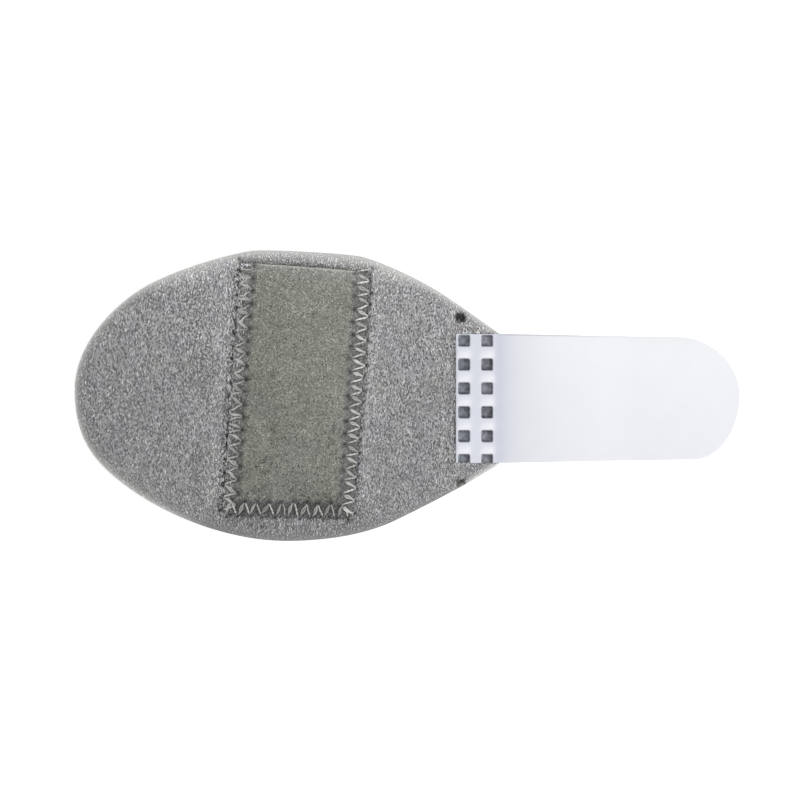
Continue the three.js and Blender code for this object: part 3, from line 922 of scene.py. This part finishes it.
def closedSheet(name, upper, lower, material, attributes, turned=False):
    # a closed sheet: an upper grid, a lower grid, and a rim of faces between their edges
    # turned is for grids whose rows run along +X, where the upper faces are turned round
    rows, columns = upper.shape[:2]
    count = rows * columns
    way = -1 if turned else 1
    top = gridFaces(rows, columns)[:, ::way]
    bottom = gridFaces(rows, columns, count)[:, ::-way]
    index = np.arange(count).reshape(rows, columns)
    loop = np.concatenate([index[0, :-1], index[:-1, -1], index[-1, :0:-1], index[:0:-1, 0]])
    after = np.roll(loop, -1)
    wall = np.stack([after, loop, loop + count, after + count], 1)[:, ::way]
    points = np.concatenate([upper.reshape(-1, 3), lower.reshape(-1, 3)])
    marks = {key: np.concatenate([np.ravel(a), np.ravel(b)]) for key, (a, b) in attributes.items()}
    return makePiece(name, points, [top, bottom, wall], material, marks)


def stripMarks(s, t, radius):
    # painted shade at the needle holes, in the crease and between the strokes; and how much a point is in the
    # seam
    inside, crease, ground = seamLine(s, t)
    near = inside < 3.8
    dark = holeDepth(s, t, near, anyHole, radius)
    dark[near] = np.maximum(dark[near], spots(s[near], t[near], seamDarkSpots, seamDarkWeight, stitch["darkRadius"]))
    end = stripLength / 2 - t
    # darker just below the open end, in from the sewn edges
    seamStartDark = 0.55 * np.exp(-((end - 0.4) ** 2) / 0.5 - (inside - 1.2) ** 2 / 2.2)
    dark = np.maximum(np.maximum(dark, seamStartDark), np.maximum(0.85 * crease * (end > 0.2), ground))
    return np.clip(dark, 0, 1), smooth((3.4 - inside) / 0.8)


def buildStrip():
    # rows slant with the lower end and are square at the open end; the sewn edge waves with the stitches
    across = np.linspace(-stripWidth / 2, stripWidth / 2, strip["columns"])
    along = np.linspace(-stripLength / 2, stripLength / 2, strip["rows"])
    s, t = np.meshgrid(across, along)
    t = t + strip["slant"] * s * (0.5 - t / stripLength)
    wave = 0.05 * latticeNoise(s, t, 1.3, 1.3, 73)
    near = smooth((np.abs(s) - stripWidth / 2 + 1.2) / 1.2) * (1 - smooth((t - stripLength / 2 + 0.5) / 0.5))
    scallop = 0.1 * near * np.cos(np.pi * t / stitch["sideStep"])
    xs, ys = fromStrip(s + np.sign(s) * scallop + wave, t + wave * 0.7)
    dark, sewn = stripMarks(s, t, 0.48)
    # painted highlight along the open cut edge
    cut = 0.85 * smooth((t - stripLength / 2 + 0.5) / 0.35) * smooth((seamDistances(s, t)[0] - 1.5) / 2)
    none = np.zeros(s.shape)
    upper = np.stack([xs, ys, stripTop(s, t)], -1)
    lower = np.stack([xs, ys, stripUnder(s, t)], -1)
    marks = {"dark": (dark, none), "cut": (cut, cut * 0.6), "sewn": (sewn, none)}
    return closedSheet("pocket_strip", upper, lower, stripMaterial(), marks)


def buildStripNap():
    # fine strands at random places and nearly random directions, lighter towards the open end
    random = np.random.default_rng(strip["seed"])
    count = strip["strands"]
    s = random.uniform(-stripWidth / 2 + 0.15, stripWidth / 2 - 0.15, count)
    t = random.uniform(-stripLength / 2 + 0.15, stripLength / 2 - 0.15, count)
    t = t + strip["slant"] * s * (0.5 - t / stripLength)
    x, y = fromStrip(s, t)
    angle = np.radians(90 - strip["turn"] + random.normal(0, 55, count))
    length = random.uniform(*strip["strandLength"], count)
    width = random.uniform(*strip["strandWidth"], count)
    lift = random.uniform(0.0, 0.1, count)
    bend = random.choice([-1, 1], count) * random.uniform(0.3, 2.6, count)
    arch = np.stack([random.uniform(0.3, 1.0, count), bend], 1)
    surface = lambda a, b: stripTop(*toStrip(a, b))
    points, quads, tris = spindles(x, y, angle, length, width, surface, lift, arch, (-0.5, 0.04, 0.5))
    # painted shade: strands that lie lower are darker
    shade = random.normal(1.05, 0.42, count) + 1.6 * (lift - 0.05) + 0.13 * latticeNoise(x, y, 1.3, 1.0, 83)
    # painted light: lighter towards the open end and the right, darker at the lower end
    shade = shade + 0.13 * latticeNoise(x, y, 4.2, 3.4, 84) - 0.1 * smooth((-t - 12) / 8)
    shade = shade - 0.01 + 0.14 * t / stripLength * 2 + 0.02 * s / stripWidth * 2
    nearMouth = smooth((t - stripLength / 2 + 4.5) / 4.5)
    shade = shade + 0.38 * nearMouth
    dark, sewn = stripMarks(s, t, 0.55)
    # painted shade at the stitches darkens the strands
    shade = shade * (1 - 0.85 * dark)
    each = len(points) // count
    sewn = np.maximum(sewn, 0.8 * nearMouth)
    marks = {"tone": np.repeat(np.clip(shade, 0.08, 2.4), each), "sewn": np.repeat(sewn, each)}
    return makePiece("pocket_nap", points, [quads, tris], stripNapMaterial(), marks)


def threadMaterial():
    # light grey twisted thread with a little lint, with painted shade where it sinks into the holes and the
    # nap
    material, start, place, feed = newMaterial("sewing_thread", {"Roughness": 0.5, "Specular IOR Level": 0.5})
    lint = noise(start, place, 5000)
    ground = (attribute(start, "tone") * (0.75 + 0.5 * lint)).shade(tone(214, 214, 211))
    feed("Base Color", attribute(start, "sunk").mix(ground, tone(88, 88, 86)))
    feed("Normal", bump(start, lint, 0.00006, 0.5))
    return material


def sewnHeight(s, t):  # what the needle thread lies on: the strip, or the pad past its edge
    onStrip = smooth((np.minimum(*seamDistances(s, t)) + 0.25) / 0.5) * (t < stripLength / 2)
    return onStrip * stripTop(s, t) + (1 - onStrip) * (padTopZ - valleyDepth(s, t))


def buildThread():
    # two plies twisted round each stroke from hole to hole, which dives at both and bows up between them
    start, end = holes[:-1], holes[1:]
    fat = holeIsOuter[:-1]  # strokes that run inwards lie flatter and wider
    count = len(start)
    u = np.linspace(0, 1, stitch["steps"])
    arch = np.sin(np.pi * u)
    base = start[:, None] * (1 - u[:, None]) + end[:, None] * u[:, None]
    surfaced = smooth(np.clip(np.minimum(u, 1 - u) / stitch["diveShare"], 0, 1))
    innerShare = np.where(fat[:, None], u, 1 - u)  # 1 at the inner hole
    rest = sewnHeight(base[:, :, 0], base[:, :, 1])
    z = rest + stitch["rise"] * arch - stitch["dive"] * (1 - surfaced)
    z = z - 0.1 * smooth((innerShare - 0.55) / 0.45)
    cross = leftOf(unit(end - start))
    random = np.random.default_rng(stitch["seed"] + 1)
    curl = random.normal(0, stitch["bow"], (2, count, 1))
    loose = random.uniform(0.75, 1.25, count)[:, None]
    middle = (start + end) / 2
    side, low = seamDistances(*middle.T)
    onEnd, onLeft = low < side, (low >= side) & (middle[:, 0] < 0)
    bow = bySide(middle[:, 0], side, low, stitch["bowBySide"])[:, None]
    bow = bow * (curl[0] * arch + 0.6 * curl[1] * np.sin(2 * np.pi * u))
    # painted light: strokes on the right seam are lighter
    light = bySide(middle[:, 0], side, low, stitch["lightBySide"])
    light = light * np.where(fat, np.where(onEnd, 0.78, 0.95), 1.08) * random.uniform(0.72, 1.16, count)
    apart = np.where(fat, stitch["fatSpread"], stitch["thinSpread"])[:, None] * loose * (0.35 + 0.65 * arch)
    paths, radii, sunk, tones = [], [], [], []
    for ply in (0, np.pi):
        phase = ply + 2 * np.pi * stitch["twist"] * u[None] * np.where(fat, 0.45, 1.0)[:, None]
        shift = np.cos(phase) * apart + bow
        flat = base + cross[:, None] * shift[:, :, None]
        x, y = fromStrip(flat[:, :, 0], flat[:, :, 1])
        paths.append(np.stack([x, y, z + np.sin(phase) * apart * 0.7], -1))
        thick = (np.where(fat, 1.3, 1.0) * random.uniform(0.85, 1.15, count))[:, None]
        radii.append(stitch["plyRadius"] * (thick * (0.7 + 0.3 * arch)))
        # sunk: painted shade where a stroke dives into a hole or under the nap
        buried = smooth((innerShare - 0.55) / 0.35) * np.where(onLeft, 0.45, np.where(fat, 0.9, 0.8))[:, None]
        endBuried = smooth((0.4 - innerShare) / 0.4) * np.where(fat, 0.75, 0.3)[:, None]
        buried = np.where(onEnd[:, None], endBuried, buried)
        sunk.append(np.clip(buried + 0.5 * (1 - surfaced), 0, 1))
        tones.append(np.broadcast_to(light[:, None], x.shape))
    points, quads, caps = tubes(np.concatenate(paths), np.concatenate(radii), stitch["sides"])

    def perPoint(values):  # a value for each ring point, then for the two poles, in the order of tubes()
        values = np.concatenate(values)
        return np.concatenate([np.repeat(values, stitch["sides"], axis=1), values[:, [0, -1]]], 1).ravel()

    marks = {"sunk": perPoint(sunk), "tone": perPoint(tones)}
    return makePiece("sewing_thread", points, [quads, caps], threadMaterial(), marks)


def buildBobbin():
    # the same holes seen from below: a plain zigzag that lies in the drawn-up valley of the underside
    start, end = holes[:-1], holes[1:]
    u = np.linspace(0, 1, 9)
    base = start[:, None] * (1 - u[:, None]) + end[:, None] * u[:, None]
    x, y = fromStrip(base[:, :, 0], base[:, :, 1])
    lift = 0.3 * (1 - smooth(np.minimum(u, 1 - u) / 0.15))
    z = np.maximum(underHeight(x, y) - 0.03, stitch["bobbinRise"]) + lift
    radii = np.full(x.shape, stitch["bobbinRadius"])
    points, quads, caps = tubes(np.stack([x, y, z], -1), radii, stitch["sides"])
    marks = {"sunk": np.zeros(len(points)), "tone": np.full(len(points), 0.85)}
    return makePiece("bobbin_thread", points, [quads, caps], threadMaterial(), marks)


def tabEdge(x, side):  # the tab's plan: straight tapering edges, then a quarter ellipse up to the tip
    reach = tabTip - padEnd
    taper = (tab["rootWidth"] - tab["tipWidth"]) / 2
    half = tab["rootWidth"] / 2 - taper * np.clip(x - padEnd, 0, None) / reach
    length = tab["roundUpper"] if side > 0 else tab["roundLower"]
    share = np.clip((x - (tabTip - length)) / length, 0, 1)
    turned = side * tab["tipRise"] + (half - side * tab["tipRise"]) * np.sqrt(1 - share**2)
    return tabMiddle + side * np.where(share > 0, turned, half)


def tabBottom(x):  # the plain sheet's lower face, above the hooks
    return tabSeat * (1 - smooth((x - tabBend) / tab["drape"]))


def weldShapes(x, y):
    # dent: 1 on a weld's floor, with soft steep walls; cup: the same, wider, for the plastic pressed down
    # melted: the weld's whole square; bulge: plastic pushed up beside the welds
    # crest: a painted highlight on its top, most of all just above each weld
    # pip: how light a weld's floor is, with painted shade towards its right and lower walls and a painted
    # highlight streak across
    dent, cup, melted, bulge, crest, pip = (np.zeros(np.shape(x)) for _ in range(6))
    half = welds["size"] / 2
    tint = np.random.default_rng(tab["seed"]).uniform(0.86, 1.2, welds["rows"] * welds["columns"])
    for index, centre in enumerate(weldCentres()):
        square = squareDistance(x, y, centre, half)
        dent = np.maximum(dent, smooth((1.04 - square) / 0.22))
        cup = np.maximum(cup, smooth((1.27 - square) / 0.16))
        melted = np.maximum(melted, smooth((1.05 - square) / 0.1))
        u, v = (x - centre[0]) / half, (y - centre[1]) / half
        bulge = np.maximum(bulge, np.exp(-(u**2) / 1.6 - (np.abs(v) - 2.0) ** 2 / 0.5))
        above = np.maximum(v - 1.5, (1.3 - v) * 2.5)
        crest = np.maximum(crest, np.exp(-((np.abs(u) / 1.25) ** 4) - above**2 / 0.9))
        streak = np.exp(-((u * 0.7 - v * 0.7 + 0.1) ** 2) / 0.12)
        level = 0.98 + 0.25 * streak - 0.5 * smooth((u - 0.45) / 0.5) - 0.5 * smooth((-v - 0.5) / 0.45)
        level = level - 0.3 * smooth((v - 0.7) / 0.3) - 0.12 * (index % 2 == 0) * smooth((0.2 - u) / 0.6)
        pip = np.where(square < 1.2, level * tint[index], pip)
    pip = pip + 0.4 * latticeNoise(x, y, 0.42, 0.42, 92) * (pip > 0)
    return dent, cup, melted, bulge, crest, np.clip(pip, 0.3, 1.5)


def tabMaterial():
    # white moulded plastic with a faint cloud, painted bluish shade beside the pad, painted light towards the
    # tip and the upper side, painted highlights by the welds, a painted shadow line on the upper edge, and the
    # welds' dull mottled skin over it
    material, start, place, feed = newMaterial("tab_plastic", {"Specular IOR Level": 0.5, "IOR": 1.5})
    cloud = noise(start, place, 220)
    film = noise(start, place, 2600, (1, 1, 1), 3.0, 0.6)
    ground = attribute(start, "pale").mix(tone(228, 229, 234), tone(242, 243, 247))
    ground = coats(start, ground, [("root", 1.0, (209, 213, 225)), ("web", 1.0, (221, 223, 234))])
    ground = (0.98 + 0.04 * cloud).shade(ground)
    ground = coats(start, ground, [("crest", 0.8, (247, 248, 253)), ("edge", 0.75, (165, 165, 170))])
    melted = attribute(start, "column").mix(tone(148, 154, 162), tone(154, 154, 164))
    melted = (attribute(start, "pip") * (0.6 + 0.8 * film)).shade(melted)
    feed("Base Color", attribute(start, "melted").mix(ground, melted))
    feed("Roughness", 0.34 + 0.12 * film)
    feed("Normal", bump(start, cloud * 0.6 + film * 0.15, 0.00018, 0.5))
    return material


def tabStations():  # places along the tab: close at the welds, wide on the free part, close again at the tip
    weldEnd = tabStart + welds["inset"] + welds["columnPitch"] + welds["size"]
    weldZone = np.arange(tabStart, weldEnd, 0.15)
    free = np.arange(weldEnd + 0.3, tabTip - tab["roundUpper"], 0.8)
    angles = np.radians(np.linspace(0, 88, 30))
    tip = tabTip - tab["roundUpper"] * (1 - np.sin(angles))
    return np.concatenate([weldZone, free, tip])


def buildTab():
    # height of the sheet at each place: its drape, a rounded edge, bulges, and a square dent at each weld
    stations = tabStations()
    shares = np.linspace(0, 1, 141)
    x = np.repeat(stations[:, None], len(shares), 1)
    low, high = tabEdge(x, -1), tabEdge(x, 1)
    y = low + (high - low) * shares
    dent, cup, melted, bulge, crest, pip = weldShapes(x, y)
    edge = np.minimum(np.minimum(y - low, high - y), x - tabStart)
    rounded = 0.12 * (1 - smooth(edge / 0.3))
    upper = tabBottom(x) + tab["thickness"] - rounded + tab["bulge"] * bulge * smooth(edge / 0.6)
    upper = upper - (welds["depth"] + 0.03 * latticeNoise(x, y, 0.5, 0.5, 91)) * dent
    lower = tabBottom(x) + tab["thickness"] - tab["base"]
    onPad = smooth((padEnd - x) / 0.6)
    lower = lower - (tab["thickness"] - tab["base"] + strip["gap"] - 0.02) * onPad
    cupFloor = tabSeat + tab["thickness"] - welds["depth"] - welds["floor"]
    lower = np.minimum(lower, lower * (1 - cup) + cupFloor * cup)
    # root: painted bluish shade past the pad's end; pale: painted light towards the tip and the upper side;
    # line: a painted shadow along the upper edge
    past = x - padEnd
    root = np.exp(-np.clip(past - 0.3, 0, None) / 2.6)
    web = 1 - smooth((past + 1.6) / 1.4)
    pale = 0.1 + 0.72 * smooth((past - 1) / 28) + 0.28 * (y - tabMiddle) / (tab["rootWidth"] / 2)
    line = bell(high - y - 0.05, 0.13) * smooth((past + 0.5) / 1.5) * (1 - smooth((past - 6) / 22))
    none = np.zeros(x.shape)
    marks = {
        "melted": (melted, none),
        "pip": (pip, none + 1),
        "column": (none + (x > tabStart + welds["inset"] + welds["columnPitch"] / 2), none),
        "crest": (crest * (1 - melted), none),
        "root": (root, root),
        "web": (web, web),
        "pale": (np.clip(pale, 0, 1), none + 0.7),
        "edge": (line, line),
    }
    upper = np.stack([x, y, upper], -1)
    lower = np.stack([x, y, lower], -1)
    return closedSheet("tab_sheet", upper, lower, tabMaterial(), marks, turned=True)


def hookMaterial():  # the tab's white plastic, a little clearer
    material, start, place, feed = newMaterial("tab_hooks", {"Roughness": 0.4, "Specular IOR Level": 0.5})
    cloud = noise(start, place, 900)
    feed("Base Color", (0.94 + 0.1 * cloud).shade(tone(238, 239, 242)))
    return material


def buildHooks():
    # rows of small hooks under the sheet: a stem that leans, then a half turn back towards the sheet
    pitch, stem = hooks["pitch"], hooks["stemShare"]
    columns, rows = np.arange(padEnd + 0.9, tabTip - 0.6, pitch), np.arange(tabLow[1], tabHigh[1], pitch)
    gx, gy = np.meshgrid(columns, rows, indexing="ij")
    gy = gy + (np.arange(gx.shape[0]) % 2)[:, None] * pitch / 2
    gx, gy = gx.ravel(), gy.ravel()
    inside = (gy < tabEdge(gx, 1) - 0.45) & (gy > tabEdge(gx, -1) + 0.45)
    gx, gy = gx[inside], gy[inside]
    facing = np.where((np.round(gy / pitch) % 2).astype(bool), 1, -1)
    u = np.linspace(0, 1, hooks["steps"])
    drop = tab["thickness"] - tab["base"]
    stemHeight = drop - hooks["clear"]
    turn = np.clip((u - stem) / (1 - stem), 0, 1) * np.pi * 0.95
    forward = np.where(u < stem, 0, hooks["bend"] * (1 - np.cos(turn)))
    height = np.where(u < stem, u / stem * stemHeight, stemHeight + hooks["bend"] * np.sin(turn))
    sheetZ = tabBottom(gx) + drop
    x = gx[:, None] + facing[:, None] * forward
    y = np.repeat(gy[:, None], len(u), 1)
    z = sheetZ[:, None] + 0.03 - height
    radii = np.broadcast_to(hooks["radius"] * (1.35 - 0.6 * u), x.shape)
    points, quads, caps = tubes(np.stack([x, y, z], -1), radii, hooks["sides"])
    return makePiece("tab_hooks", points, [quads, caps], hookMaterial())


stage = {
    "frame": 800,  # pixels along a side of the photograph
    "lens": 120,
    "padLeftPixel": 75.4,  # where the pad's free end and its middle line lie in the photograph
    "padMiddlePixel": 395.65,
    "floorSize": 3.0,
    "floorGlow": 0.45,
    "worldStrength": 0.5,
    "lights": [
        ("key", (0.42, -0.16, 0.42), 0.3, 1.9),
        ("fill", (-0.3, 0.42, 0.6), 0.5, 1.3),
    ],
}


def buildStage():
    # a white world, a faintly glowing pale floor, and two soft square lamps aimed at the middle of the splint
    scene = bpy.context.scene
    scene.view_settings.view_transform = "Standard"
    world = bpy.data.worlds.new("studio")
    scene.world = world
    world.use_nodes = True
    sky = world.node_tree.nodes["Background"]
    sky.inputs["Color"].default_value = (1.0, 1.0, 1.0, 1.0)
    sky.inputs["Strength"].default_value = stage["worldStrength"]
    material, start, place, feed = newMaterial("pale_floor", {"Roughness": 0.8, "Specular IOR Level": 0.1})
    cloud = noise(start, place, 6, (1, 1, 1), 1.0, 0.4)
    feed("Base Color", (0.985 + 0.03 * cloud).shade(tone(249, 249, 250)))
    glow = material.node_tree.nodes["Principled BSDF"]
    glow.inputs["Emission Color"].default_value = (1.0, 1.0, 1.0, 1.0)
    glow.inputs["Emission Strength"].default_value = stage["floorGlow"]
    size = stage["floorSize"] / mm / 2
    corners = np.array([[-size, -size, 0], [size, -size, 0], [size, size, 0], [-size, size, 0]], float)
    floor = makePiece("floor", corners, [np.array([[0, 1, 2, 3]])], material)
    for name, place, size, power in stage["lights"]:
        light = bpy.data.lights.new(name, "AREA")
        light.size = size
        light.energy = power
        lamp = bpy.data.objects.new(name, light)
        lamp.location = place
        aim = -lamp.location
        lamp.rotation_mode = "QUATERNION"
        lamp.rotation_quaternion = aim.to_track_quat("-Z", "Y")
        lamp.visible_camera = False
        scene.collection.objects.link(lamp)
    print(f"studio: floor and {len(stage['lights'])} lights")


def buildCamera():
    # straight down on the middle of the photograph's frame
    cameraData = bpy.data.cameras.new("camera")
    cameraData.lens = stage["lens"]
    camera = bpy.data.objects.new("camera", cameraData)
    middle = stage["frame"] / 2
    middleX = padLow[0] + (middle - stage["padLeftPixel"]) / photoScale
    middleY = (stage["padMiddlePixel"] - middle) / photoScale + (padLow[1] + padHigh[1]) / 2
    height = stage["frame"] / photoScale * stage["lens"] / cameraData.sensor_width
    camera.location = (middleX * mm, middleY * mm, height * mm)
    bpy.context.scene.collection.objects.link(camera)
    bpy.context.scene.camera = camera
    print(f"camera: {height:.0f} mm above the splint")


buildCamera()
buildStage()
padPiece = buildPad()
napPiece, topNapPiece = [buildPadNap(name, layer) for name, layer in pad["layers"].items()]
stripPiece = buildStrip()
stripNapPiece = buildStripNap()
threadPiece = buildThread()
bobbinPiece = buildBobbin()
tabPiece = buildTab()
hookPiece = buildHooks()

for piece, slot in (
    (padPiece, "pad_cloth"),
    (napPiece, "pad_cloth"),
    (topNapPiece, "pad_cloth"),
    (stripPiece, "pocket_cloth"),
    (stripNapPiece, "pocket_cloth"),
    (threadPiece, "thread"),
    (bobbinPiece, "thread"),
    (tabPiece, "tab_plastic"),
    (hookPiece, "tab_plastic"),
):
    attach(piece, "root")

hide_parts("pad")
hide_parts("stay_pocket")
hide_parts("hook_tab")
stripFlat = (stripWidth * mm, stripLength * mm)
